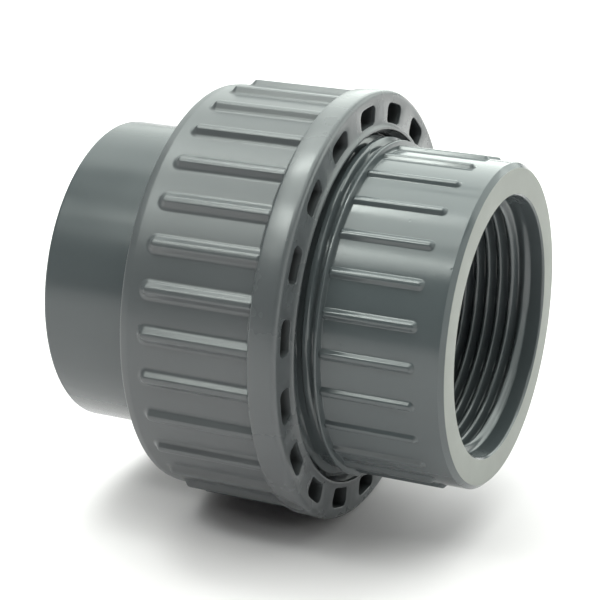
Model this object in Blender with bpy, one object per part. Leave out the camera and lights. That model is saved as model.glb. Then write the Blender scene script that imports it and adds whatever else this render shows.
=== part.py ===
"""Plastic pipe union: a solvent-cement socket end joined to a female threaded end by a union nut.

The pipe axis is +X, the socket end points to -X and the threaded end to +X. The origin is the
centre of the whole fitting, on the pipe axis. Lengths are in metres, +Z is up.
"""
import math

import bmesh
import bpy

MM = 0.001
STEPS = 36                                # facets round every turned piece
RUNNING_GAP = 0.3 * MM                    # between neighbouring pieces

# Driving dimensions along the pipe axis
FITTING_LENGTH = 79.0 * MM
REAR_X = -FITTING_LENGTH / 2
FRONT_X = FITTING_LENGTH / 2
NUT_FACE_X = 13.0 * MM                    # the nut's front face
NUT_LENGTH = 31.2 * MM
NUT_WALL = 5.7 * MM                       # the rear wall that pulls on the tail's collar
COLLAR_LENGTH = 6.8 * MM
SOCKET_DEPTH = 31.0 * MM                  # a size 50 solvent socket

# Driving radii
WATERWAY_RADIUS = 21.0 * MM
SOCKET_BORE_RADIUS = 25.0 * MM
SOCKET_OUTER_RADIUS = 28.9 * MM
COLLAR_RADIUS = 30.5 * MM
NUT_RADIUS = 38.4 * MM
NUT_FLANGE_RADIUS = 40.3 * MM
NUT_MOUTH_RADIUS = 33.1 * MM
BARREL_RADIUS = 29.9 * MM

# Union thread, right-handed: ridges on the threaded end run between ridges inside the nut
UNION_PITCH = 3.0 * MM
UNION_FLANK = math.tan(math.radians(20))  # ridge half-width gained for each unit of depth
MALE_ROOT_RADIUS = 30.5 * MM
MALE_CREST_RADIUS = 31.8 * MM
MALE_CREST_HALF = 0.45 * MM
NUT_CREST_RADIUS = 30.9 * MM
NUT_ROOT_RADIUS = 32.3 * MM
NUT_CREST_HALF = 0.36 * MM
MALE_THREAD_END_X = 14.97 * MM
MALE_THREAD_END_ANGLE = math.radians(218)
MALE_TURNS = 6.0
NUT_TURNS = 5.0
RIDGE_SUNK = 0.5 * MM                     # how far a thread ridge's foot reaches into its piece
NUT_THREAD_SETBACK = 1.75 * MM            # of the last nut ridge behind the nut's face

# Pipe thread, parallel 1 1/2 inch with 11 threads per inch, right-handed
PIPE_PITCH = 25.4 / 11 * MM
PIPE_MAJOR_RADIUS = 23.9 * MM
PIPE_MINOR_RADIUS = 22.42 * MM
PIPE_FLANK = math.tan(math.radians(27.5))
PIPE_TURNS = 8.0
PIPE_THREAD_END_ANGLE = math.radians(23)
PIPE_LEAD_IN = 2.5 * MM

# Seal
RING_SECTION_RADIUS = 1.6 * MM
RING_RADIUS = 25.9 * MM
RING_STEPS = 10
GROOVE_WIDTH = 4.0 * MM
GROOVE_DEPTH = 3.5 * MM

# Grip ribs and moulded recesses, with the angle of the first of each set
NUT_RIBS = 30
NUT_RIB_ANGLE = math.radians(89.3)
NUT_RIB_HEIGHT = 0.9 * MM
BARREL_RIBS = 26
BARREL_RIB_ANGLE = math.radians(78.4)
BARREL_RIB_HEIGHT = 0.7 * MM
RIB_SUNK = 0.6 * MM                       # how far a rib's foot reaches into its piece
FACE_RECESSES = 18
FACE_RECESS_ANGLE = math.radians(49.3)
FACE_RECESS_DEPTH = 4.5 * MM

NUT_BACK_X = NUT_FACE_X - NUT_LENGTH
COLLAR_BACK_X = NUT_BACK_X + NUT_WALL + RUNNING_GAP
SEAL_X = COLLAR_BACK_X + COLLAR_LENGTH    # the collar's front face
BODY_BACK_X = SEAL_X + RUNNING_GAP        # the threaded end's sealing face


def clear_scene():
    for old in list(bpy.data.objects):
        bpy.data.objects.remove(old, do_unlink=True)


def material(name, color, roughness):
    made = bpy.data.materials.new(name)
    made.use_nodes = True
    shader = made.node_tree.nodes["Principled BSDF"]
    shader.inputs["Base Color"].default_value = (*color, 1)
    shader.inputs["Roughness"].default_value = roughness
    shader.inputs["Metallic"].default_value = 0
    return made


def new_object(name, bm, made_of=None, smooth_angle=30):
    """A mesh object with outward faces, shaded smooth below the given angle."""
    bmesh.ops.recalc_face_normals(bm, faces=bm.faces)
    mesh = bpy.data.meshes.new(name)
    bm.to_mesh(mesh)
    bm.free()
    mesh.shade_smooth()
    mesh.set_sharp_from_angle(angle=math.radians(smooth_angle))
    if made_of:
        mesh.materials.append(made_of)
    made = bpy.data.objects.new(name, mesh)
    bpy.context.scene.collection.objects.link(made)
    return made


def on_axis(x, radius, angle):
    """A point by its place along the pipe axis and its turn about it, from +Y towards +Z."""
    return (x, radius * math.cos(angle), radius * math.sin(angle))


def corner_round(x, radius, dx, dr, steps=3):
    """Points that round a profile's corner at (x, radius), from (x + dx) to (radius + dr)."""
    points = []
    for i in range(steps + 1):
        turn = math.pi / 2 * i / steps
        points.append((x + dx * (1 - math.sin(turn)), radius + dr * (1 - math.cos(turn))))
    return points


def turned(name, outline, made_of, steps=STEPS):
    """A ring whose closed outline of (x, radius) points is turned about the pipe axis."""
    bm = bmesh.new()
    rings = []
    for i in range(steps):
        angle = 2 * math.pi * i / steps
        rings.append([bm.verts.new(on_axis(x, radius, angle)) for x, radius in outline])
    count = len(outline)
    for i in range(steps):
        here, there = rings[i], rings[(i + 1) % steps]
        for k in range(count):
            bm.faces.new((here[k], here[(k + 1) % count], there[(k + 1) % count], there[k]))
    return new_object(name, bm, made_of)


def helper(name, bm):
    """A guide or cutter: it shapes another piece and isn't a piece itself."""
    made = new_object(name, bm)
    made.hide_render = True
    made.display_type = "WIRE"
    return made


def combine(target, other, operation):
    cut = target.modifiers.new(other.name, "BOOLEAN")
    cut.solver = "EXACT"
    cut.operation = operation
    cut.object = other


def ridge_section(base_radius, crest_radius, base_half, crest_half):
    """A thread ridge's section as (offset along the axis, radius); a crest of 0 is a sharp one."""
    if crest_half == 0:
        return [(-base_half, base_radius), (0, crest_radius), (base_half, base_radius)]
    return [(-base_half, base_radius), (-crest_half, crest_radius),
            (crest_half, crest_radius), (base_half, base_radius)]


def helix_ridge(name, section, end_x, end_angle, turns, pitch):
    """A right-handed ridge that ends at end_x and end_angle and runs back towards -X."""
    bm = bmesh.new()
    count = round(turns * STEPS)
    rows = []
    for i in range(count + 1):
        back = 2 * math.pi * i / STEPS
        middle = end_x - pitch * i / STEPS
        rows.append([bm.verts.new(on_axis(middle + dx, radius, end_angle - back))
                     for dx, radius in section])
    side = len(section)
    for here, there in zip(rows, rows[1:]):
        for k in range(side):
            bm.faces.new((here[k], here[(k + 1) % side], there[(k + 1) % side], there[k]))
    bm.faces.new(rows[0])
    bm.faces.new(list(reversed(rows[-1])))
    return helper(name, bm)


def bar_outline(length, half_width, round_back, round_front, steps=4):
    """A flat bar's outline from above, from 0 to length, each end round or cut square."""
    points = []
    for is_round, x_end, toward in ((round_front, length, 1), (round_back, 0, -1)):
        if not is_round:
            points += [(x_end, -toward * half_width), (x_end, toward * half_width)]
            continue
        for i in range(steps + 1):
            turn = math.pi * i / steps - math.pi / 2
            points.append((x_end - toward * half_width * (1 - math.cos(turn)),
                           toward * half_width * math.sin(turn)))
    return points


def rib_set(name, count, first_angle, start_x, end_x, base_radius, top_radius, base_half,
            top_half, round_back, round_front):
    """Raised bars along the axis, spread evenly round a turned body that they reach into."""
    bm = bmesh.new()
    draft = base_half - top_half
    low = bar_outline(end_x - start_x, base_half, round_back, round_front)
    back = draft if round_back else 0
    front = draft if round_front else 0
    high = [(x + back, side) for x, side in
            bar_outline(end_x - start_x - back - front, top_half, round_back, round_front)]
    for i in range(count):
        angle = first_angle + 2 * math.pi * i / count
        rows = []
        for outline, radius in ((low, base_radius), (high, top_radius)):
            rows.append([bm.verts.new(beside(start_x + x, radius, side, angle))
                         for x, side in outline])
        close_prism(bm, rows[0], rows[1])
    return helper(name, bm)


def beside(x, height, side, angle):
    """A point at a height over the axis and to the side of the plane at this angle."""
    return (x, height * math.cos(angle) - side * math.sin(angle),
            height * math.sin(angle) + side * math.cos(angle))


def close_prism(bm, low, high):
    """Side faces and both ends between two matching loops of points."""
    side = len(low)
    for k in range(side):
        bm.faces.new((low[k], low[(k + 1) % side], high[(k + 1) % side], high[k]))
    bm.faces.new(list(reversed(low)))
    bm.faces.new(high)


def recess_outline(inner_radius, outer_radius, inner_half, outer_half, corner):
    """One face recess seen along the axis, as (height, side), with its outer corners cut off."""
    return [(inner_radius, -inner_half), (outer_radius - corner, -outer_half),
            (outer_radius, -outer_half + corner), (outer_radius, outer_half - corner),
            (outer_radius - corner, outer_half), (inner_radius, inner_half)]


def face_recesses(name):
    """Blind pockets in the nut's flange, which keep its wall as thin as the rest."""
    outline = recess_outline(34.6 * MM, 37.9 * MM, 2.7 * MM, 3.6 * MM, 1.2 * MM)
    bm = bmesh.new()
    for i in range(FACE_RECESSES):
        angle = FACE_RECESS_ANGLE + 2 * math.pi * i / FACE_RECESSES
        rows = []
        for x in (NUT_FACE_X - FACE_RECESS_DEPTH, NUT_FACE_X + MM):
            rows.append([bm.verts.new(beside(x, height, side, angle))
                         for height, side in outline])
        close_prism(bm, rows[0], rows[1])
    return helper(name, bm)


def socket_end():
    """The tail: a solvent socket at the back and, inside the nut, the collar it pulls on."""
    grey = material("socket_end_grey", (0.125, 0.14, 0.145), 0.38)
    socket_floor_x = REAR_X + SOCKET_DEPTH
    lip = 0.8 * MM
    chamfer = 1.2 * MM
    outline = corner_round(REAR_X, SOCKET_OUTER_RADIUS, lip, -lip)
    outline.reverse()
    outline = [
        (socket_floor_x, WATERWAY_RADIUS), (socket_floor_x, SOCKET_BORE_RADIUS - 0.15 * MM),
        (REAR_X + chamfer, SOCKET_BORE_RADIUS), (REAR_X, SOCKET_BORE_RADIUS + chamfer / 2),
    ] + outline + [
        (COLLAR_BACK_X, SOCKET_OUTER_RADIUS), (COLLAR_BACK_X, COLLAR_RADIUS),
        (SEAL_X - 0.6 * MM, COLLAR_RADIUS), (SEAL_X, COLLAR_RADIUS - 0.6 * MM),
        (SEAL_X, WATERWAY_RADIUS),
    ]
    return turned("socket_end", outline, grey)


def nut_outline():
    """The nut's section: front lip, flange, body, rear wall and the bore that carries its thread."""
    flange_back = NUT_FACE_X - 6.0 * MM
    back_round = 1.5 * MM
    front_round = 0.8 * MM
    lip = 0.5 * MM
    hole = SOCKET_OUTER_RADIUS + 0.4 * MM
    front = corner_round(NUT_FACE_X, NUT_FLANGE_RADIUS, -front_round, -front_round)
    front.reverse()
    back = corner_round(NUT_BACK_X, NUT_RADIUS, back_round, -back_round)
    return [
        (NUT_FACE_X + lip, NUT_MOUTH_RADIUS), (NUT_FACE_X + lip, NUT_MOUTH_RADIUS + 0.3 * MM),
        (NUT_FACE_X, NUT_MOUTH_RADIUS + 1.4 * MM),
    ] + front + [
        (flange_back + 1.4 * MM, NUT_FLANGE_RADIUS),
        (flange_back + 0.4 * MM, NUT_FLANGE_RADIUS - 0.6 * MM),
        (flange_back, NUT_FLANGE_RADIUS - 1.5 * MM), (flange_back - 0.4 * MM, NUT_RADIUS),
    ] + back + [
        (NUT_BACK_X, hole), (NUT_BACK_X + NUT_WALL, hole),
        (NUT_BACK_X + NUT_WALL, NUT_ROOT_RADIUS), (NUT_FACE_X - 1.2 * MM, NUT_ROOT_RADIUS),
        (NUT_FACE_X - 0.2 * MM, NUT_MOUTH_RADIUS),
    ]


def union_nut():
    """The nut: ribs for the hand, recesses in its flange and a thread that pulls both ends tight."""
    grey = material("union_nut_grey", (0.125, 0.135, 0.135), 0.42)
    nut = turned("union_nut", nut_outline(), grey)
    ribs = rib_set("nut_rib_guide", NUT_RIBS, NUT_RIB_ANGLE, NUT_FACE_X - 27.0 * MM,
                   NUT_FACE_X - 5.0 * MM, NUT_RADIUS - RIB_SUNK, NUT_RADIUS + NUT_RIB_HEIGHT,
                   1.9 * MM, 0.7 * MM, True, False)
    combine(nut, ribs, "UNION")
    combine(nut, face_recesses("nut_recess_cutter"), "DIFFERENCE")
    depth = NUT_ROOT_RADIUS - NUT_CREST_RADIUS
    section = ridge_section(NUT_ROOT_RADIUS + RIDGE_SUNK, NUT_CREST_RADIUS,
                            NUT_CREST_HALF + (depth + RIDGE_SUNK) * UNION_FLANK, NUT_CREST_HALF)
    end_x = NUT_FACE_X - NUT_THREAD_SETBACK
    combine(nut, helix_ridge("nut_thread_guide", section, end_x, nut_thread_angle(end_x),
                             NUT_TURNS, UNION_PITCH), "UNION")
    return nut


def nut_thread_angle(x):
    """The turn at which the nut's ridge, half a pitch from the male one, passes this place."""
    from_male_end = x - (MALE_THREAD_END_X + UNION_PITCH / 2)
    return MALE_THREAD_END_ANGLE + 2 * math.pi * from_male_end / UNION_PITCH


def threaded_outline():
    """The threaded end's section: seal groove, thread root, collar, barrel and stepped bore."""
    collar_x = NUT_FACE_X + 3.1 * MM
    collar_radius = 31.4 * MM
    bevel = 0.9 * MM
    groove_low = RING_RADIUS - GROOVE_WIDTH / 2
    groove_high = RING_RADIUS + GROOVE_WIDTH / 2
    thread_floor_x = pipe_thread_end_x() - PIPE_TURNS * PIPE_PITCH - 2.0 * MM
    return [
        (BODY_BACK_X, WATERWAY_RADIUS), (BODY_BACK_X, groove_low),
        (BODY_BACK_X + GROOVE_DEPTH, groove_low), (BODY_BACK_X + GROOVE_DEPTH, groove_high),
        (BODY_BACK_X, groove_high), (BODY_BACK_X, MALE_ROOT_RADIUS - 0.5 * MM),
        (BODY_BACK_X + 0.5 * MM, MALE_ROOT_RADIUS), (collar_x, MALE_ROOT_RADIUS),
        (collar_x, collar_radius), (collar_x + 0.6 * MM, collar_radius),
        (collar_x + 0.9 * MM, BARREL_RADIUS), (FRONT_X - bevel, BARREL_RADIUS),
        (FRONT_X, BARREL_RADIUS - bevel), (FRONT_X, PIPE_MAJOR_RADIUS + 0.4 * MM),
        (FRONT_X - 0.3 * MM, PIPE_MAJOR_RADIUS + 0.1 * MM),
        (thread_floor_x, PIPE_MAJOR_RADIUS + 0.1 * MM), (thread_floor_x, WATERWAY_RADIUS),
    ]


def pipe_thread_end_x():
    return FRONT_X - PIPE_LEAD_IN - PIPE_PITCH / 2


def threaded_end():
    """The other end: union thread and seal groove inside the nut, ribbed barrel, pipe thread."""
    grey = material("threaded_end_grey", (0.125, 0.14, 0.145), 0.3)
    body = turned("threaded_end", threaded_outline(), grey)
    depth = MALE_CREST_RADIUS - MALE_ROOT_RADIUS
    section = ridge_section(MALE_ROOT_RADIUS - RIDGE_SUNK, MALE_CREST_RADIUS,
                            MALE_CREST_HALF + (depth + RIDGE_SUNK) * UNION_FLANK, MALE_CREST_HALF)
    combine(body, helix_ridge("male_thread_guide", section, MALE_THREAD_END_X,
                              MALE_THREAD_END_ANGLE, MALE_TURNS, UNION_PITCH), "UNION")
    depth = PIPE_MAJOR_RADIUS - PIPE_MINOR_RADIUS
    section = ridge_section(PIPE_MAJOR_RADIUS + RIDGE_SUNK, PIPE_MINOR_RADIUS,
                            (depth + RIDGE_SUNK) * PIPE_FLANK, 0)
    combine(body, helix_ridge("pipe_thread_guide", section, pipe_thread_end_x(),
                              PIPE_THREAD_END_ANGLE, PIPE_TURNS, PIPE_PITCH), "UNION")
    ribs = rib_set("barrel_rib_guide", BARREL_RIBS, BARREL_RIB_ANGLE, NUT_FACE_X + 3.5 * MM,
                   NUT_FACE_X + 21.5 * MM, BARREL_RADIUS - RIB_SUNK,
                   BARREL_RADIUS + BARREL_RIB_HEIGHT, 1.4 * MM, 0.45 * MM, False, True)
    combine(body, ribs, "UNION")
    return body


def o_ring():
    """The seal, in the threaded end's groove and pressed by the tail's collar."""
    rubber = material("o_ring_rubber", (0.012, 0.012, 0.012), 0.6)
    middle_x = BODY_BACK_X + RING_SECTION_RADIUS
    outline = []
    for i in range(RING_STEPS):
        turn = 2 * math.pi * i / RING_STEPS
        outline.append((middle_x + RING_SECTION_RADIUS * math.cos(turn),
                        RING_RADIUS + RING_SECTION_RADIUS * math.sin(turn)))
    return turned("o_ring", outline, rubber)


clear_scene()
socket_end()
union_nut()
threaded_end()
o_ring()
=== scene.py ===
# %% [markdown]
# # A plastic pipe union
#
# Three grey PVC-U mouldings and a rubber ring make a joint in a pipe that opens by hand. The
# socket end is glued to a pipe. The threaded end screws onto another. The union nut turns freely
# round the socket end, and its thread pulls the two ends together on the O-ring.
#
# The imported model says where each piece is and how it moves. This script builds the pieces as
# they look, each in the place of its plain solid. Lengths below are in metres, and the pipe runs
# along X.

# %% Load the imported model
import math

import bmesh
import bpy
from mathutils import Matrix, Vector


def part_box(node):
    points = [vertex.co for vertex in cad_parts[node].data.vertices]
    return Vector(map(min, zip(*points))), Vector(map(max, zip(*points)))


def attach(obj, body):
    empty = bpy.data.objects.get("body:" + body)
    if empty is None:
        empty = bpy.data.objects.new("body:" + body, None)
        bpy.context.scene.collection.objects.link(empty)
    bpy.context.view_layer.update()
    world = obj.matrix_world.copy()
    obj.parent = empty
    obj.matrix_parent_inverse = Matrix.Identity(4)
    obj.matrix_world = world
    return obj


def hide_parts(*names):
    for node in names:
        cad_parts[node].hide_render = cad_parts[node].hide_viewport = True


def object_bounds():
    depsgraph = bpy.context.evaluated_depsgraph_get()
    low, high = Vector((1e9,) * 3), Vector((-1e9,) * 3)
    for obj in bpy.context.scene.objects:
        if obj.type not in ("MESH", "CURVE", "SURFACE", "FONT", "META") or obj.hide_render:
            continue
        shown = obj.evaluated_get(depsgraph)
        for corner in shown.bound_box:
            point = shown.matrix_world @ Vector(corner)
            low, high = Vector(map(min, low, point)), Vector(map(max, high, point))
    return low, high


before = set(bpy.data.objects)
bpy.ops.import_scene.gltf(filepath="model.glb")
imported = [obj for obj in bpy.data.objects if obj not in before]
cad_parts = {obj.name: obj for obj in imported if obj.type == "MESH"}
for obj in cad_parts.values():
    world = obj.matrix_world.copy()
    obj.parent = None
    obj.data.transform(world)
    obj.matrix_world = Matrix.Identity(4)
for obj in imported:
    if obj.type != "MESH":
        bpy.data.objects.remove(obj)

cad_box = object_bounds()
MM = 0.001
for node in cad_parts:
    low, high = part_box(node)
    print(node, "runs from", tuple(round(v / MM, 1) for v in low), "to",
          tuple(round(v / MM, 1) for v in high), "mm")

# %% [markdown]
# ## Where the pieces meet
#
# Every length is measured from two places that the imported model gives: the front of the threaded
# end and the nut's front lip. Keeping the numbers in one cell makes the fitting easy to change to
# another size.

# %% Main sizes
tail_low, tail_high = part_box("socket_end")
nut_low, nut_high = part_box("union_nut")
body_low, body_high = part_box("threaded_end")

LIP = 0.5 * MM                                  # the raised lip round the nut's mouth
REAR_X = tail_low[0]
FRONT_X = body_high[0]
NUT_BACK_X = nut_low[0]
NUT_FACE_X = nut_high[0] - LIP
SEAL_X = tail_high[0]                           # where the collar presses the ring
BODY_BACK_X = body_low[0]

WATERWAY = 21.0 * MM
SOCKET_BORE = 25.0 * MM
SOCKET_OUTER = 28.9 * MM
COLLAR = 30.5 * MM
NUT_OUTER = 38.4 * MM
FLANGE = nut_high[1]
BARREL = 29.9 * MM

POCKET_DEPTH = 7.5 * MM
POCKET_INNER = 34.32 * MM
POCKET_OUTER = 38.0 * MM
print("nut face at", round(NUT_FACE_X / MM, 2), "mm, flange radius", round(FLANGE / MM, 2), "mm")

# %% [markdown]
# ## Camera
#
# The view is a long lens from the front right and a little above, so the rings stay close to true
# ellipses. It is aimed at the middle of the fitting, with a very small shift to frame it.

# %% Set up the camera
CAMERA_AZIMUTH = math.radians(24.70)
CAMERA_ELEVATION = math.radians(19.755)
CAMERA_DISTANCE = 0.38873
CAMERA_LENS = 123.65

lens = bpy.data.cameras.new("camera")
lens.sensor_width = 36
lens.lens = CAMERA_LENS
lens.shift_x = -0.0059
lens.shift_y = -0.0062
lens.clip_start = 0.01
camera = bpy.data.objects.new("camera", lens)
bpy.context.scene.collection.objects.link(camera)
towards_camera = Vector((math.sin(CAMERA_AZIMUTH) * math.cos(CAMERA_ELEVATION),
                         -math.cos(CAMERA_AZIMUTH) * math.cos(CAMERA_ELEVATION),
                         math.sin(CAMERA_ELEVATION)))
camera.location = CAMERA_DISTANCE * towards_camera
camera.rotation_euler = (-towards_camera).to_track_quat("-Z", "Y").to_euler()
bpy.context.scene.camera = camera
print("camera", round(CAMERA_DISTANCE, 3), "m away")

# %% [markdown]
# ## Node helper
#
# Shader and geometry trees both work by joining sockets. This small class wraps one output
# socket, so that arithmetic written in Python adds the Math nodes, and one method adds any other
# node: its settings go in first, then the values or links of its sockets. Colours have a method
# of their own, because a Math node would turn them grey.

# %% A socket that Python can calculate with
class Signal:
    def __init__(self, tree, socket=None):
        self.tree, self.socket = tree, socket

    def node(self, kind, settings=None, inputs=None, output=0):
        made = self.tree.nodes.new(kind)
        for name, value in (settings or {}).items():
            setattr(made, name, value)
        for key, value in (inputs or {}).items():
            if isinstance(value, Signal):
                self.tree.links.new(value.socket, made.inputs[key])
            else:
                made.inputs[key].default_value = value
        return Signal(self.tree, made.outputs[output])

    def math(self, operation, *terms):
        return self.node("ShaderNodeMath", {"operation": operation}, dict(enumerate(terms)))

    def __add__(self, other):
        return self.math("ADD", self, other)

    __radd__ = __add__

    def __sub__(self, other):
        return self.math("SUBTRACT", self, other)

    def __rsub__(self, other):
        return self.math("SUBTRACT", other, self)

    def __mul__(self, other):
        return self.math("MULTIPLY", self, other)

    __rmul__ = __mul__

    def __truediv__(self, other):
        return self.math("DIVIDE", self, other)

    def ramp(self, low, high):
        """0 below the low value, 1 above the high one, and an eased slope between."""
        return self.node("ShaderNodeMapRange", {"interpolation_type": "SMOOTHSTEP"},
                         {"Value": self, "From Min": low, "From Max": high})

    def blend(self, first, second):
        """The first colour where this is 0, and the second where it is 1."""
        return self.node("ShaderNodeMix", {"data_type": "RGBA"},
                         {0: self, 6: first, 7: second}, 2)

    def parts(self):
        """The three numbers of a place or a colour."""
        split = self.node("ShaderNodeSeparateXYZ", {}, {"Vector": self})
        return [Signal(self.tree, output) for output in split.socket.node.outputs]


# %% [markdown]
# ## Floor and light
#
# The fitting lies on its flange on a plain pale floor. Grey plastic shows its shape by what it
# mirrors, so the studio is built for the reflections. Overhead hangs a wide box with a bright
# strip, and at the front left a box, a small one and a strip, which draw the bands of light
# along the ribs and the barrel. Dimmer panels at the back, on the right and above fill in the
# rest. Where two lights overlap, the smaller one hangs nearer, so that it isn't hidden.
#
# The camera doesn't see the lights. Far from the fitting the floor glows a little, like paper
# that sweeps up behind it, and the world beyond is white to the camera and dim to everything
# else.

# %% Floor
FLOOR_COLOR = (0.84, 0.79, 0.81)
FLOOR_HALF = 4.0
GLOW_FROM, GLOW_FULL = 0.6, 1.6                 # metres from the fitting


def pale_floor():
    paint = bpy.data.materials.new("pale_floor")
    paint.use_nodes = True
    tree = paint.node_tree
    shader = tree.nodes["Principled BSDF"]
    place = Signal(tree).node("ShaderNodeNewGeometry")
    cloud = place.node("ShaderNodeTexNoise", {}, {"Vector": place, "Scale": 6.0, "Detail": 3.0})
    tint = cloud.blend((*FLOOR_COLOR, 1), (*[c * 0.985 for c in FLOOR_COLOR], 1))
    tree.links.new(tint.socket, shader.inputs["Base Color"])
    shader.inputs["Roughness"].default_value = 0.8
    distance = place.node("ShaderNodeVectorMath", {"operation": "LENGTH"}, {0: place}, 1)
    far = distance.ramp(GLOW_FROM, GLOW_FULL)
    glow = place.node("ShaderNodeCombineXYZ", {}, {"X": far, "Y": far, "Z": far})
    tree.links.new(glow.socket, shader.inputs["Emission Color"])
    shader.inputs["Emission Strength"].default_value = 0.9
    return paint


floor_mesh = bpy.data.meshes.new("floor")
floor_z = cad_box[0][2]
floor_mesh.from_pydata([(x, y, floor_z) for x, y in (
    (-FLOOR_HALF, -FLOOR_HALF), (FLOOR_HALF, -FLOOR_HALF), (FLOOR_HALF, FLOOR_HALF),
    (-FLOOR_HALF, FLOOR_HALF))], [], [(0, 1, 2, 3)])
floor_mesh.materials.append(pale_floor())
floor = bpy.data.objects.new("floor", floor_mesh)
bpy.context.scene.collection.objects.link(floor)
print("floor at", round(floor_z / MM, 1), "mm")


# %% Lights
LIGHT_COLOR = (0.93, 1.0, 0.95)


def soft_box(name, azimuth, elevation, distance, width, height, radiance):
    """An area light that faces the fitting; degrees, metres, and brightness as radiance."""
    light = bpy.data.lights.new(name, "AREA")
    light.shape = "RECTANGLE"
    light.size, light.size_y = width, height
    light.energy = radiance * math.pi * width * height
    light.color = LIGHT_COLOR
    made = bpy.data.objects.new(name, light)
    bpy.context.scene.collection.objects.link(made)
    a, e = math.radians(azimuth), math.radians(elevation)
    back = Vector((math.sin(a) * math.cos(e), -math.cos(a) * math.cos(e), math.sin(e)))
    made.location = distance * back
    made.visible_camera = False
    made.rotation_euler = back.to_track_quat("Z", "Y").to_euler()


soft_box("overhead_box", -96, 76, 0.8, 0.60, 0.50, 1.9)
soft_box("overhead_strip", -91, 70, 0.6, 0.09, 0.17, 13.0)
soft_box("front_left_box", -37, 51, 0.9, 0.40, 0.20, 7.5)
soft_box("front_left_spot", -33, 55, 0.7, 0.10, 0.075, 12.0)
soft_box("front_left_strip", -34, 38, 0.8, 0.27, 0.09, 4.5)
soft_box("back_left_panel", -150, 32, 1.1, 1.3, 1.2, 1.7)
soft_box("back_panel", 165, 32, 1.3, 2.2, 1.4, 1.9)
soft_box("right_panel", 95, 12, 1.3, 1.8, 1.2, 1.3)
soft_box("right_back_panel", 135, 14, 1.0, 1.0, 0.4, 1.2)
soft_box("sky_panel", 0, 89, 1.4, 1.8, 1.8, 2.5)

# %% World
DIM = 0.03

world = bpy.data.worlds.new("studio")
world.use_nodes = True
backdrop = world.node_tree.nodes["Background"]
by_camera = Signal(world.node_tree).node("ShaderNodeLightPath")
strength = by_camera * (1 - DIM) + DIM
world.node_tree.links.new(strength.socket, backdrop.inputs["Strength"])
backdrop.inputs["Color"].default_value = (0.97, 0.98, 0.98, 1)
bpy.context.scene.world = world
bpy.context.scene.view_settings.view_transform = "Standard"
print("the world is white to the camera and", DIM, "of that to everything else")

# %% [markdown]
# ## Turned bodies
#
# All three mouldings are round, so each starts as a section that is turned about the pipe axis.
# The section is a list of corners, and each corner has a radius, because a moulded edge is never
# quite sharp and its rounding is what catches the light. A stretch that will carry a thread is
# split into close stations, which the thread then moves in and out.

# %% Section helpers
STRAIGHT = math.radians(89)                     # half the angle of a corner that hardly bends
SAME_PLACE = 1e-5
SAME_RADIUS = 1e-6


def rounded(corners, steps=4, closed=True):
    """Points along an outline of (x, y, corner radius) corners, with every corner rounded."""
    count = len(corners)
    points = []
    for i, (x, y, radius) in enumerate(corners):
        here = Vector((x, y))
        if radius == 0 or (not closed and i in (0, count - 1)):
            points.append((x, y))
            continue
        before = (Vector(corners[i - 1][:2]) - here).normalized()
        after = (Vector(corners[(i + 1) % count][:2]) - here).normalized()
        half = before.angle(after) / 2
        if half > STRAIGHT:
            points.append((x, y))
            continue
        reach = radius / math.tan(half)
        centre = here + (before + after).normalized() * (radius / math.sin(half))
        start, end = here + before * reach - centre, here + after * reach - centre
        sweep = math.pi - 2 * half
        side = 1 if start.x * end.y - start.y * end.x > 0 else -1
        for k in range(steps + 1):
            turn = side * sweep * k / steps
            points.append((centre.x + start.x * math.cos(turn) - start.y * math.sin(turn),
                           centre.y + start.x * math.sin(turn) + start.y * math.cos(turn)))
    return points


def stations(points, low_x, high_x, radius, spacing):
    """The same outline, with the straight stretch at this radius split for a thread."""
    made = []
    for here, there in zip(points, points[1:] + points[:1]):
        made.append(here)
        level = max(abs(here[1] - radius), abs(there[1] - radius)) < SAME_RADIUS
        if level and abs(there[0] - here[0]) > 5 * spacing:
            first, last = max(low_x, min(here[0], there[0])), min(high_x, max(here[0], there[0]))
            count = round((last - first) / spacing)
            split = [first + (last - first) * k / count for k in range(count + 1)]
            split = [x for x in split
                     if min(abs(x - here[0]), abs(x - there[0])) > SAME_PLACE]
            made += [(x, radius) for x in (split if there[0] > here[0] else reversed(split))]
    return made


# %% Turning helpers
def on_axis(x, radius, angle):
    """A point by its place along the pipe and its turn about it, from +Y towards +Z."""
    return (x, radius * math.cos(angle), radius * math.sin(angle))


def turned(outline, columns, first_angle=0.0, open_after=None):
    """A ring turned from a closed outline; the face after one chosen point may be left open."""
    bm = bmesh.new()
    rings = [[bm.verts.new(on_axis(x, radius, first_angle + 2 * math.pi * i / columns))
              for x, radius in outline] for i in range(columns)]
    count = len(outline)
    for i in range(columns):
        here, there = rings[i], rings[(i + 1) % columns]
        for k in range(count):
            if k != open_after:
                bm.faces.new((here[k], here[(k + 1) % count], there[(k + 1) % count], there[k]))
    return bm


def new_object(name, bm):
    mesh = bpy.data.meshes.new(name)
    bm.to_mesh(mesh)
    bm.free()
    made = bpy.data.objects.new(name, mesh)
    bpy.context.scene.collection.objects.link(made)
    return made


# %% [markdown]
# ## Geometry trees
#
# Two rules repeat all over this fitting. One puts copies of a small part evenly round the pipe
# axis, which makes the ribs and the pockets. The other moves the wall of a turned body in or out
# along a helix, which makes all three threads. Each is a Geometry Nodes tree with its sizes as
# inputs, so one tree serves every size.

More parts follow.
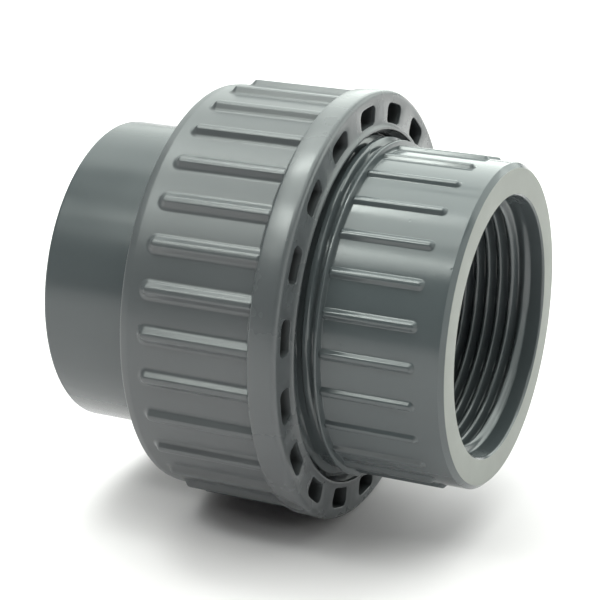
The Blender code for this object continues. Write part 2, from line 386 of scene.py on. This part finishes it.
# %% Tree helpers
def geometry_tree(name, *numbers):
    """An empty tree with named inputs; gives its signal, its inputs and its output node."""
    tree = bpy.data.node_groups.new(name, "GeometryNodeTree")
    face = tree.interface
    face.new_socket("Geometry", in_out="INPUT", socket_type="NodeSocketGeometry")
    for label in numbers:
        kind = "NodeSocketInt" if label == "Count" else "NodeSocketFloat"
        face.new_socket(label, in_out="INPUT", socket_type=kind)
    face.new_socket("Material", in_out="INPUT", socket_type="NodeSocketMaterial")
    face.new_socket("Geometry", in_out="OUTPUT", socket_type="NodeSocketGeometry")
    given = tree.nodes.new("NodeGroupInput")
    values = {socket.name: Signal(tree, socket) for socket in given.outputs if socket.name}
    return Signal(tree), values, tree.nodes.new("NodeGroupOutput")


def close_tree(shape, material, result):
    """Every tree ends the same way: real geometry, with its material."""
    real = shape.node("GeometryNodeRealizeInstances", {}, {"Geometry": shape})
    painted = real.node("GeometryNodeSetMaterial", {}, {"Geometry": real, "Material": material})
    painted.tree.links.new(painted.socket, result.inputs[0])


def grow(thing, tree, **values):
    """Runs a tree on an object and keeps the result as its plain mesh."""
    modifier = thing.modifiers.new(tree.name, "NODES")
    modifier.node_group = tree
    for item in tree.interface.items_tree:
        if item.in_out == "INPUT" and item.name in values:
            modifier[item.identifier] = values[item.name]
    bpy.context.view_layer.update()
    seen = thing.evaluated_get(bpy.context.evaluated_depsgraph_get())
    mesh = bpy.data.meshes.new_from_object(seen)
    thing.modifiers.remove(modifier)
    old, thing.data = thing.data, mesh
    bpy.data.meshes.remove(old)
    return thing


# %% The tree that repeats a part round the pipe axis
def repeat_round_axis():
    wires, given, result = geometry_tree("repeat_round_axis", "Count", "First_Angle")
    spots = wires.node("GeometryNodeMeshLine", {}, {
        "Count": given["Count"], "Offset": (0, 0, 0)})
    index = wires.node("GeometryNodeInputIndex")
    turn = given["First_Angle"] + index * (2 * math.pi) / given["Count"]
    angles = wires.node("ShaderNodeCombineXYZ", {}, {"X": turn})
    copies = wires.node("GeometryNodeInstanceOnPoints", {}, {
        "Points": spots, "Instance": given["Geometry"], "Rotation": angles})
    close_tree(copies, given["Material"], result)
    return wires.tree


REPEAT = repeat_round_axis()
print("tree", REPEAT.name, "has", len(REPEAT.nodes), "nodes")


# %% The tree that raises a thread from a wall
def raise_thread():
    """A helix of ridges where the wall has the given radius; a height below 0 grows inwards.

    Turn_At_Zero is the ridge's place at X = 0 in turns. Crest and Foot are distances from the
    ridge's middle, as shares of the pitch. The ridge tapers away at both ends over Run_Out.
    """
    wires, given, result = geometry_tree(
        "raise_thread", "Wall", "Height", "Pitch", "Turn_At_Zero", "Crest", "Foot", "Start_X",
        "End_X", "Run_Out")
    x, y, z = wires.node("GeometryNodeInputPosition").parts()
    radius = wires.math("SQRT", y * y + z * z)
    angle = wires.math("ARCTAN2", z, y) / (2 * math.pi)
    phase = x / given["Pitch"] - angle - given["Turn_At_Zero"]
    from_ridge = wires.math("FRACT", phase + 0.5) - 0.5
    share = 1 - wires.math("ABSOLUTE", from_ridge).ramp(given["Crest"], given["Foot"])
    ridge_x = x - from_ridge * given["Pitch"]
    opening = ridge_x.ramp(given["Start_X"], given["Start_X"] + given["Run_Out"])
    closing = 1 - ridge_x.ramp(given["End_X"] - given["Run_Out"], given["End_X"])
    grown = given["Height"] * share * opening * closing
    on_wall = wires.math("COMPARE", radius, given["Wall"], 0.02 * MM)
    outward = wires.node("ShaderNodeCombineXYZ", {}, {
        "X": 0.0, "Y": y / radius * grown, "Z": z / radius * grown})
    moved = wires.node("GeometryNodeSetPosition", {}, {
        "Geometry": given["Geometry"], "Selection": on_wall, "Offset": outward})
    close_tree(moved, given["Material"], result)
    return wires.tree


THREAD = raise_thread()
print("tree", THREAD.name, "has", len(THREAD.nodes), "nodes")


# %% [markdown]
# ## Ribs
#
# The grip ribs are low bars with drafted sides, so the moulding leaves its tool. One bar is
# modelled as a pile of loops: a foot that blends into the wall, the sloping side, a rounded
# shoulder and a slightly crowned top. It is wrapped on its cylinder, closed underneath, and the
# tree repeats it. Separate bars that reach into the wall keep the body's own mesh clean.

# %% One rib
RIB_SUNK = 0.5 * MM                             # how far a bar reaches into its wall
FOOT_ROUNDING = 1.9                             # in widths of the foot
SHOULDER_ROUNDING = 0.55 * MM
CROWN_HALF, CROWN_RISE = 0.25, 1.04             # shares of the top's half width and height


def bar_loop(back, front, half, back_share, front_share, steps=6):
    """A flat bar's outline; each end's corners are rounded by a share of its half width."""
    points = []
    for x_end, toward, share in ((front, 1, front_share), (back, -1, back_share)):
        corner = half * share
        for side in (-1, 1):
            for k in range(steps + 1):
                turn = math.pi / 2 * (k / steps if side > 0 else k / steps - 1)
                x = x_end - toward * (corner - corner * math.cos(turn))
                off = side * (half - corner) + corner * math.sin(turn)
                points.append((x, toward * off))
    return points


def rib(name, back, front, wall, base_half, top_half, height, foot, back_share, front_share):
    """One bar along X at angle 0, on a cylinder of radius wall.

    The foot is how far its blend reaches past the base. The shares round the bar's two ends, seen
    from above, by a part of its half width: 0 leaves them square, and 1 makes them half round.
    """
    section = rounded([(base_half + foot, -0.01 * MM, 0), (base_half, 0, foot * FOOT_ROUNDING),
                       (top_half, height, SHOULDER_ROUNDING),
                       (CROWN_HALF * top_half, height * CROWN_RISE, 0)], closed=False)
    section = [(base_half + foot, -RIB_SUNK)] + section
    bm = bmesh.new()
    rows = []
    for half, lift in section:
        inset = base_half - half
        rows.append([bm.verts.new(on_axis(x, wall + lift, side / wall)) for x, side in
                     bar_loop(back + inset, front - inset, half, back_share, front_share)])
    for low, high in zip(rows, rows[1:]):
        for k in range(len(low)):
            j = (k + 1) % len(low)
            bm.faces.new((low[k], low[j], high[j], high[k]))
    for row in (rows[0], rows[-1]):
        last = len(row) - 1
        for k in range(last // 2):
            bm.faces.new((row[k], row[k + 1], row[last - k - 1], row[last - k]))
    bmesh.ops.remove_doubles(bm, verts=bm.verts, dist=1e-7)
    bmesh.ops.recalc_face_normals(bm, faces=bm.faces)
    print(name, "has", len(bm.faces), "faces")
    return new_object(name, bm)


# %% Joining and finishing helpers
SHARP = math.radians(38)                        # an edge that bends more isn't shaded smooth
FULLY_WORN = math.radians(70)


def merged(name, finish, *parts):
    """One mesh from several objects, which are used up; shared edges become one."""
    bm = bmesh.new()
    for part in parts:
        bm.from_mesh(part.data)
        mesh = part.data
        bpy.data.objects.remove(part)
        bpy.data.meshes.remove(mesh)
    bmesh.ops.remove_doubles(bm, verts=bm.verts, dist=1e-6)
    made = new_object(name, bm)
    made.data.materials.append(finish)
    return made


def finish_piece(piece, body, node):
    """Outward faces, smooth shading with real edges, and the piece's place in the model.

    Each corner also notes how much it stands out, for the plastic's rubbed edges.
    """
    bm = bmesh.new()
    bm.from_mesh(piece.data)
    loose_edges = [e for e in bm.edges if len(e.link_faces) != 2]
    bmesh.ops.recalc_face_normals(bm, faces=bm.faces)
    bm.normal_update()
    worn = bm.verts.layers.float.new("worn_edge")
    for corner in bm.verts:
        bend = sum(max(0.0, e.calc_face_angle_signed(0.0)) for e in corner.link_edges)
        corner[worn] = min(1.0, bend / FULLY_WORN)
    bm.to_mesh(piece.data)
    bm.free()
    piece.data.shade_smooth()
    piece.data.set_sharp_from_angle(angle=SHARP)
    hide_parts(node)
    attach(piece, body)
    piece.data.calc_loop_triangles()
    print(piece.name, len(piece.data.loop_triangles), "triangles,", len(loose_edges),
          "edges not closed")
    return piece


# %% [markdown]
# ## Moulded grey plastic
#
# PVC-U is coloured through, so its grey hardly changes. What makes it look real is the surface:
# faint rings left by turning the mould, an orange peel, soft cloudy patches of gloss, small
# dimples and a few pale specks. A Voronoi pattern scatters the last two: the colour of each cell
# is random, so it can say which cells have one. Edges that stand out are rubbed a little paler.
# The patterns read object coordinates, so they stay with the piece when it moves.

# %% The moulded surface
PVC_IOR = 1.53
BUMP_DEPTH = 0.10 * MM


def noise(place, scale, detail=2.0, stretch=(1, 1, 1)):
    """Noise about 1 / scale metres across, and finer along an axis that stretch multiplies."""
    at = place.node("ShaderNodeVectorMath", {"operation": "MULTIPLY"}, {
        0: place, 1: tuple(scale * s for s in stretch)})
    return place.node("ShaderNodeTexNoise", {}, {"Vector": at, "Scale": 1.0, "Detail": detail,
                                                 "Roughness": 0.55})


def specks_and_dimples(place):
    """Small round masks: a few pale specks, and many dimples in other cells."""
    cells = place.node("ShaderNodeTexVoronoi", {}, {"Vector": place, "Scale": 500.0})
    chance = Signal(cells.tree, cells.socket.node.outputs["Color"]).parts()[0]
    specks = (1 - cells.ramp(0.04, 0.12)) * chance.ramp(0.975, 0.98)
    dimples = (1 - cells.ramp(0.02, 0.17)) * (1 - chance.ramp(0.40, 0.42))
    return specks, dimples


def moulded_surface(place, color, gloss, peel, pitting):
    """Colour, roughness and height of the plastic as it leaves its mould."""
    cloud = noise(place, 38.0, 3.0)
    grain = noise(place, 900.0)
    fine = noise(place, 1500.0, 1.0)
    rings = noise(place, 1.0, 2.0, (520.0, 12.0, 12.0))
    flow = noise(place, 1.0, 3.0, (26.0, 190.0, 190.0))
    specks, dimples = specks_and_dimples(place)
    worn = place.node("ShaderNodeAttribute", {"attribute_name": "worn_edge"}, {}, 2)
    rubbed = worn.ramp(0.25, 0.9) * noise(place, 420.0, 3.0).ramp(0.25, 0.85)

    shade = (cloud - 0.5) * 0.30 + (flow - 0.5) * 0.22 + (grain - 0.5) * 0.10 + 0.5
    dark, light, pale = ((*[c * share for c in color], 1) for share in (0.84, 1.18, 2.0))
    dusty = place.math("MAXIMUM", specks * 0.45, rubbed * 0.10)
    tone = dusty.blend(shade.blend(dark, light), pale)
    rough = (cloud - 0.5) * 0.20 + (flow - 0.5) * 0.12 + (rings - 0.5) * 0.05 + gloss
    rough = rough - rubbed * 0.015
    height = grain * (0.10 * peel) + rings * 0.05 + fine * (0.03 * peel) - dimples * pitting
    return tone, rough, height


# %% [markdown]
# ## Places with another finish
#
# Two of the mouldings differ from place to place. The nut is more satin behind its flange, and
# its deep pockets are rougher inside, with painted shade that darkens their linings. The threaded
# end is cut square after moulding, so its front face is paler and duller, with rings left by the
# tool. Each is a function that takes the moulded surface and changes it by place.

# %% The nut's pockets and the threaded end's cut face
NUT_GREY = (0.080, 0.086, 0.090)
TAIL_GREY = (0.066, 0.075, 0.079)
BODY_GREY = (0.072, 0.083, 0.087)
CUT_DARK, CUT_LIGHT = (0.165, 0.172, 0.157, 1), (0.245, 0.255, 0.235, 1)
# Painted shade for the pockets' linings: the nut's grey at 0.3 of its brightness.
POCKET_PAINTED_SHADE = (*[c * 0.30 for c in NUT_GREY], 1)
BODY_GLOSS = 0.15


def satin_and_pocket_shade(place, shifted, tone, rough, height):
    """The union nut: satin behind the flange, and painted shade on the pockets' linings."""
    x, y, z = place.parts()
    radius = place.math("SQRT", y * y + z * z)
    satin_x = NUT_FACE_X - 6.0 * MM
    pocket_back_x = NUT_FACE_X - POCKET_DEPTH - 0.1 * MM
    # Painted shade: this mask darkens the pockets' linings, and also makes them rougher.
    pocket_shade_mask = x.ramp(pocket_back_x - 0.1 * MM, pocket_back_x) * (
        1 - x.ramp(NUT_FACE_X - 1.6 * MM, NUT_FACE_X - 0.3 * MM)) * (
        radius.ramp(33.9 * MM, 34.0 * MM)) * (
        1 - radius.ramp(POCKET_OUTER + 0.15 * MM, POCKET_OUTER + 0.2 * MM))
    rough = rough + 0.05 * (1 - x.ramp(satin_x, satin_x + 0.3 * MM)) + pocket_shade_mask * 0.25
    return pocket_shade_mask.blend(tone, POCKET_PAINTED_SHADE), rough, height


def cut_face(place, shifted, tone, rough, height):
    """The threaded end: its front face is machined outside the chamfer of the mouth."""
    x, y, z = place.parts()
    radius = place.math("SQRT", y * y + z * z)
    cut_x, cut_inner = FRONT_X - 0.05 * MM, 24.2 * MM
    cut = x.ramp(cut_x, cut_x + 0.02 * MM) * radius.ramp(cut_inner - 0.02 * MM, cut_inner)
    tool = place.node("ShaderNodeTexNoise", {"noise_dimensions": "1D"}, {
        "W": radius * 9000.0, "Scale": 1.0, "Detail": 2.0})
    chatter = noise(shifted, 150.0, 4.0)
    machined = (tool * 0.5 + chatter * 0.5).blend(CUT_DARK, CUT_LIGHT)
    rough = rough + cut * (0.52 - BODY_GLOSS + (tool - 0.5) * 0.2)
    height = height * (1 - cut * 0.5) + cut * (tool * 0.10 + chatter * 0.10)
    return cut.blend(tone, machined), rough, height


# %% Three greys
def grey_plastic(name, color, gloss, peel, pitting, seed, change=None):
    """Moulded grey; the seed moves its patterns, so that no two pieces are marked alike."""
    made = bpy.data.materials.new(name)
    made.use_nodes = True
    tree = made.node_tree
    shader = tree.nodes["Principled BSDF"]
    place = Signal(tree).node("ShaderNodeTexCoord", {}, {}, 3)
    shifted = place.node("ShaderNodeMapping", {}, {"Vector": place, "Location": (seed, 0, 0)})
    tone, rough, height = moulded_surface(shifted, color, gloss, peel, pitting)
    if change:
        tone, rough, height = change(place, shifted, tone, rough, height)
    tree.links.new(tone.socket, shader.inputs["Base Color"])
    tree.links.new(rough.socket, shader.inputs["Roughness"])
    bump = height.node("ShaderNodeBump", {}, {
        "Strength": 0.35, "Distance": BUMP_DEPTH, "Height": height})
    tree.links.new(bump.socket, shader.inputs["Normal"])
    shader.inputs["IOR"].default_value = PVC_IOR
    print(name, "has", len(tree.nodes), "nodes")
    return made


nut_grey = grey_plastic("union_nut_grey", NUT_GREY, gloss=0.27, peel=1.0, pitting=0.04, seed=0.3,
                        change=satin_and_pocket_shade)
tail_grey = grey_plastic("socket_end_grey", TAIL_GREY, gloss=0.22, peel=0.8, pitting=0.05,
                         seed=0.9)
body_grey = grey_plastic("threaded_end_grey", BODY_GREY, gloss=BODY_GLOSS, peel=1.5,
                         pitting=0.55, seed=1.7, change=cut_face)

# %% [markdown]
# ## Union nut
#
# The nut is a wide ring with a flange in front. Its section is turned first, with the front face
# left open between the lip and the flange's edge. Eighteen blind pockets then take up the thick
# part of the flange, as moulders do so that the plastic cools evenly, and the face is filled
# between them. The thread inside is raised from the wall, and thirty ribs go on outside, with
# their front ends inside the flange.

# %% Nut body
UNION_PITCH = 3.0 * MM
NUT_COLUMNS = 360
POCKETS = 18
POCKET_ANGLE = math.radians(50.6)
NUT_ROOT = 32.3 * MM
NUT_NECK = 29.3 * MM                            # the hole in the rear wall
NUT_MOUTH = 33.1 * MM
REAR_WALL = 5.7 * MM
FLANGE_WIDTH = 5.2 * MM
FLANGE_STEP = 0.9 * MM                          # the slope from the flange down to the ribs
FACE_INNER = 34.15 * MM                         # the flat face that holds the pockets
FACE_OUTER = FLANGE - 1.1 * MM
NUT_THREAD_BACK = NUT_FACE_X - 17.0 * MM
NUT_THREAD_FRONT = NUT_FACE_X - 1.2 * MM


def nut_section():
    """Corners of the nut's section, from the lip over the outside to the bore."""
    corners = [
        (NUT_FACE_X, FACE_OUTER, 0), (NUT_FACE_X, FLANGE, 1.0 * MM),
        (NUT_FACE_X - FLANGE_WIDTH, FLANGE - 0.2 * MM, 0.5 * MM),
        (NUT_FACE_X - FLANGE_WIDTH - FLANGE_STEP, NUT_OUTER, 0.35 * MM),
        (NUT_BACK_X + 1.6 * MM, NUT_OUTER, 3.0 * MM),
        (NUT_BACK_X, NUT_OUTER - 0.25 * MM, 0.5 * MM), (NUT_BACK_X, NUT_NECK, 0.3 * MM),
        (NUT_BACK_X + REAR_WALL, NUT_NECK, 0.2 * MM), (NUT_BACK_X + REAR_WALL, NUT_ROOT, 0.3 * MM),
        (NUT_THREAD_FRONT, NUT_ROOT, 0), (NUT_FACE_X - 0.2 * MM, NUT_MOUTH, 0.2 * MM),
        (NUT_FACE_X + LIP, NUT_MOUTH, 0.08 * MM),
        (NUT_FACE_X + LIP, NUT_MOUTH + 0.4 * MM, 0.12 * MM), (NUT_FACE_X, FACE_INNER, 0)]
    return stations(rounded(corners), NUT_THREAD_BACK, NUT_THREAD_FRONT, NUT_ROOT,
                    UNION_PITCH / 14)


nut_outline = nut_section()
nut_shell = new_object("nut_shell", turned(nut_outline, NUT_COLUMNS, POCKET_ANGLE,
                                           open_after=len(nut_outline) - 1))
print("nut section has", len(nut_outline), "points")


# %% One pocket
POCKET_MOUTH = 0.15 * MM                        # the rounding of its edge
POCKET_FLOOR = 0.6 * MM                         # the rounding round its bottom


def arc_corner(radius, off, rounding):
    """A corner on an arc round the pipe axis, given by its distance along the arc."""
    return (radius * math.cos(off / radius), radius * math.sin(off / radius), rounding)


def pocket_outline(inner, outer, inner_half, outer_half):
    """A pocket's shape in the nut's face, wider outside than inside, with rounded corners."""
    corners = []
    for radius, half, side, rounding in ((inner, inner_half, 1, 0.8 * MM),
                                         (outer, outer_half, -1, 1.3 * MM)):
        between = [side * half * k / 5 for k in range(-4, 5)]
        corners.append(arc_corner(radius, -side * half, rounding))
        corners += [arc_corner(radius, off, 0) for off in between
                    if abs(off) < half - 1.3 * rounding]
        corners.append(arc_corner(radius, side * half, rounding))
    return [Vector(point) for point in rounded(corners, steps=5)]


def pocket_levels(depth):
    """How far out and how far back each ring of the lining lies, from the face to the floor."""
    levels = []
    for k in range(4):
        turn = math.pi / 2 * k / 3
        levels.append((POCKET_MOUTH * (1 - math.sin(turn)), -POCKET_MOUTH * (1 - math.cos(turn))))
    for k in range(5):
        turn = math.pi / 2 * k / 4
        levels.append((-0.12 * MM - POCKET_FLOOR * (1 - math.cos(turn)),
                       -depth + POCKET_FLOOR * (1 - math.sin(turn))))
    return levels


def pocket(name, depth, inner, outer, inner_half, outer_half):
    """A blind pocket's lining at angle 0, open at the nut's face."""
    outline = pocket_outline(inner, outer, inner_half, outer_half)
    count = len(outline)
    area = sum(a.x * b.y - a.y * b.x for a, b in zip(outline, outline[1:] + outline[:1]))
    outward = []
    for k in range(count):
        along = (outline[(k + 1) % count] - outline[k - 1]).normalized()
        outward.append(Vector((along.y, -along.x)) * (1 if area > 0 else -1))
    bm = bmesh.new()
    rows = [[bm.verts.new((NUT_FACE_X + back, p.x + w.x * out, p.y + w.y * out))
             for p, w in zip(outline, outward)] for out, back in pocket_levels(depth)]
    for high, low in zip(rows, rows[1:]):
        for k in range(count):
            j = (k + 1) % count
            bm.faces.new((high[k], high[j], low[j], low[k]))
    bm.faces.new(rows[-1])
    bmesh.ops.remove_doubles(bm, verts=bm.verts, dist=1e-7)
    return new_object(name, bm)


pockets = pocket("pockets", POCKET_DEPTH, POCKET_INNER, POCKET_OUTER, 2.9 * MM, 3.6 * MM)
grow(pockets, REPEAT, Count=POCKETS, First_Angle=POCKET_ANGLE, Material=nut_grey)
print("pockets have", len(pockets.data.polygons), "faces")


# %% Face between the pockets, and the nut's thread
def fill_face(piece):
    """Fills the flat face that the open edges outline."""
    bm = bmesh.new()
    bm.from_mesh(piece.data)
    rim = [e for e in bm.edges if len(e.link_faces) == 1]
    filled = bmesh.ops.triangle_fill(bm, edges=rim, use_beauty=True, normal=(1, 0, 0))
    bmesh.ops.recalc_face_normals(bm, faces=bm.faces)
    bm.to_mesh(piece.data)
    bm.free()
    print("face filled with", len(filled["geom"]), "edges and faces")


nut_body = merged("nut_body", nut_grey, nut_shell, pockets)
fill_face(nut_body)

# The male thread ends at this place and angle. The nut's ridges lie half a turn from the male
# ones, so that each runs in the other's groove.
MALE_END_X = 14.97 * MM
MALE_END_ANGLE = math.radians(219.5)
male_turn = MALE_END_X / UNION_PITCH - MALE_END_ANGLE / (2 * math.pi)
grow(nut_body, THREAD, Wall=NUT_ROOT, Height=-1.4 * MM, Pitch=UNION_PITCH,
     Turn_At_Zero=male_turn + 0.5, Crest=0.10, Foot=0.33, Start_X=NUT_THREAD_BACK,
     End_X=NUT_FACE_X - 1.5 * MM, Run_Out=0.8 * MM, Material=nut_grey)

# %% Nut ribs
NUT_RIBS = 30

nut_ribs = rib("nut_ribs", NUT_FACE_X - 27.3 * MM, NUT_FACE_X - 4.6 * MM, NUT_OUTER,
               base_half=1.50 * MM, top_half=0.55 * MM, height=1.15 * MM, foot=0.65 * MM,
               back_share=1.0, front_share=0.3)
grow(nut_ribs, REPEAT, Count=NUT_RIBS, First_Angle=math.radians(90.9), Material=nut_grey)
union_nut = merged("union_nut_moulding", nut_grey, nut_body, nut_ribs)
finish_piece(union_nut, "nut", "union_nut")

# %% [markdown]
# ## Threaded end
#
# This end has a thread outside for the nut, a groove for the ring at the back, a stop collar, a
# barrel with slim ribs, and a pipe thread inside its mouth. The front face is cut square after
# moulding. One turned body carries both threads, raised from their walls by the same tree. The
# pipe thread's rounded profile has sides at 27.5 degrees.

# %% Threaded body
PIPE_PITCH = 25.4 / 11 * MM
PIPE_WALL = 23.95 * MM
MALE_ROOT = 30.5 * MM
BODY_COLUMNS = 240
RING_RADIUS = 25.9 * MM


def threaded_section():
    """Corners of the threaded end's section, from the back over the outside to the bore."""
    collar_x = NUT_FACE_X + 3.06 * MM
    groove_floor = BODY_BACK_X + 3.5 * MM
    thread_floor = 15.4 * MM
    corners = [
        (BODY_BACK_X, WATERWAY, 0.3 * MM), (BODY_BACK_X, RING_RADIUS - 2 * MM, 0.15 * MM),
        (groove_floor, RING_RADIUS - 2 * MM, 0.3 * MM),
        (groove_floor, RING_RADIUS + 2 * MM, 0.3 * MM),
        (BODY_BACK_X, RING_RADIUS + 2 * MM, 0.15 * MM), (BODY_BACK_X, MALE_ROOT, 0.5 * MM),
        (collar_x, MALE_ROOT, 0.15 * MM), (collar_x, 31.4 * MM, 0.22 * MM),
        (collar_x + 0.62 * MM, 31.4 * MM, 0.2 * MM), (collar_x + 0.85 * MM, 30.3 * MM, 0.12 * MM),
        (collar_x + 0.98 * MM, BARREL, 0.2 * MM), (FRONT_X - 0.9 * MM, BARREL, 0.18 * MM),
        (FRONT_X, BARREL - 0.9 * MM, 0.10 * MM), (FRONT_X, 24.35 * MM, 0.06 * MM),
        (FRONT_X - 0.3 * MM, PIPE_WALL + 0.05 * MM, 0.05 * MM),
        (FRONT_X - 0.5 * MM, PIPE_WALL, 0),
        (thread_floor, PIPE_WALL, 0.3 * MM), (thread_floor, WATERWAY, 0.5 * MM)]
    outline = rounded(corners)
    outline = stations(outline, BODY_BACK_X, collar_x, MALE_ROOT, UNION_PITCH / 14)
    return stations(outline, thread_floor, FRONT_X - 2.0 * MM, PIPE_WALL, PIPE_PITCH / 16)


threaded_outline = threaded_section()
threaded_body = new_object("threaded_body", turned(threaded_outline, BODY_COLUMNS))
print("threaded end's section has", len(threaded_outline), "points")

# %% Union thread and pipe thread
grow(threaded_body, THREAD, Wall=MALE_ROOT, Height=1.3 * MM, Pitch=UNION_PITCH,
     Turn_At_Zero=male_turn, Crest=0.12, Foot=0.34, Start_X=BODY_BACK_X + 0.6 * MM,
     End_X=MALE_END_X, Run_Out=0.5 * MM, Material=body_grey)
pipe_end_x = FRONT_X - 2.5 * MM - PIPE_PITCH / 2
pipe_turn = pipe_end_x / PIPE_PITCH - math.radians(24.5) / (2 * math.pi)
grow(threaded_body, THREAD, Wall=PIPE_WALL, Height=-1.479 * MM, Pitch=PIPE_PITCH,
     Turn_At_Zero=pipe_turn, Crest=0.0, Foot=0.5, Start_X=17.0 * MM, End_X=pipe_end_x + 0.3 * MM,
     Run_Out=0.9 * MM, Material=body_grey)

# %% Barrel ribs
BARREL_RIBS = 26

barrel_ribs = rib("barrel_ribs", NUT_FACE_X + 3.5 * MM, NUT_FACE_X + 21.3 * MM, BARREL,
                  base_half=0.98 * MM, top_half=0.42 * MM, height=0.7 * MM, foot=0.2 * MM,
                  back_share=0.3, front_share=0.9)
grow(barrel_ribs, REPEAT, Count=BARREL_RIBS, First_Angle=math.radians(79.8), Material=body_grey)
threaded_end = merged("threaded_end_moulding", body_grey, threaded_body, barrel_ribs)
finish_piece(threaded_end, "threaded_body", "threaded_end")

# %% [markdown]
# ## Socket end
#
# The plain end is a smooth sleeve with a bore for the glued pipe, a rounded rim, and inside the
# nut the collar that the nut pulls on. It is only turned: the finish does the rest.

# %% Socket end
socket_floor = REAR_X + 31.0 * MM
collar_back = NUT_BACK_X + 6.0 * MM
socket_outline = rounded([
    (socket_floor, WATERWAY, 0.4 * MM), (socket_floor, SOCKET_BORE - 0.15 * MM, 0.5 * MM),
    (REAR_X + 1.2 * MM, SOCKET_BORE, 0.5 * MM), (REAR_X, SOCKET_BORE + 0.6 * MM, 0.2 * MM),
    (REAR_X, SOCKET_OUTER, 0.8 * MM), (collar_back, SOCKET_OUTER, 0.4 * MM),
    (collar_back, COLLAR, 0.3 * MM), (SEAL_X, COLLAR, 0.5 * MM), (SEAL_X, WATERWAY, 0.4 * MM)],
    steps=6)
socket_end = new_object("socket_end_moulding", turned(socket_outline, BODY_COLUMNS))
socket_end.data.materials.append(tail_grey)
finish_piece(socket_end, "tail", "socket_end")

# %% [markdown]
# ## O-ring
#
# The seal is a plain rubber ring, seen only through the bore and when the union is open. A thin
# flash line runs round it where its mould parts.

# %% O-ring
RING_HALF = 1.6 * MM
RING_STEPS = 32
FLASH = 0.03 * MM

ring_middle = BODY_BACK_X + RING_HALF
ring_outline = []
for k in range(RING_STEPS):
    turn = 2 * math.pi * k / RING_STEPS
    reach = RING_HALF if k % (RING_STEPS // 2) == 0 else RING_HALF - FLASH
    ring_outline.append((ring_middle + RING_HALF * math.sin(turn),
                         RING_RADIUS + reach * math.cos(turn)))
seal = new_object("seal_ring", turned(ring_outline, 192))
print("seal ring's middle at", round(ring_middle / MM, 2), "mm")


def black_rubber():
    made = bpy.data.materials.new("seal_rubber")
    made.use_nodes = True
    tree = made.node_tree
    shader = tree.nodes["Principled BSDF"]
    place = Signal(tree).node("ShaderNodeTexCoord", {}, {}, 3)
    dust = place.node("ShaderNodeTexNoise", {}, {"Vector": place, "Scale": 260.0, "Detail": 4.0})
    tone = dust.ramp(0.45, 0.75).blend((0.010, 0.010, 0.011, 1), (0.035, 0.035, 0.034, 1))
    tree.links.new(tone.socket, shader.inputs["Base Color"])
    tree.links.new((dust * 0.3 + 0.4).socket, shader.inputs["Roughness"])
    return made


seal.data.materials.append(black_rubber())
finish_piece(seal, "threaded_body", "o_ring")
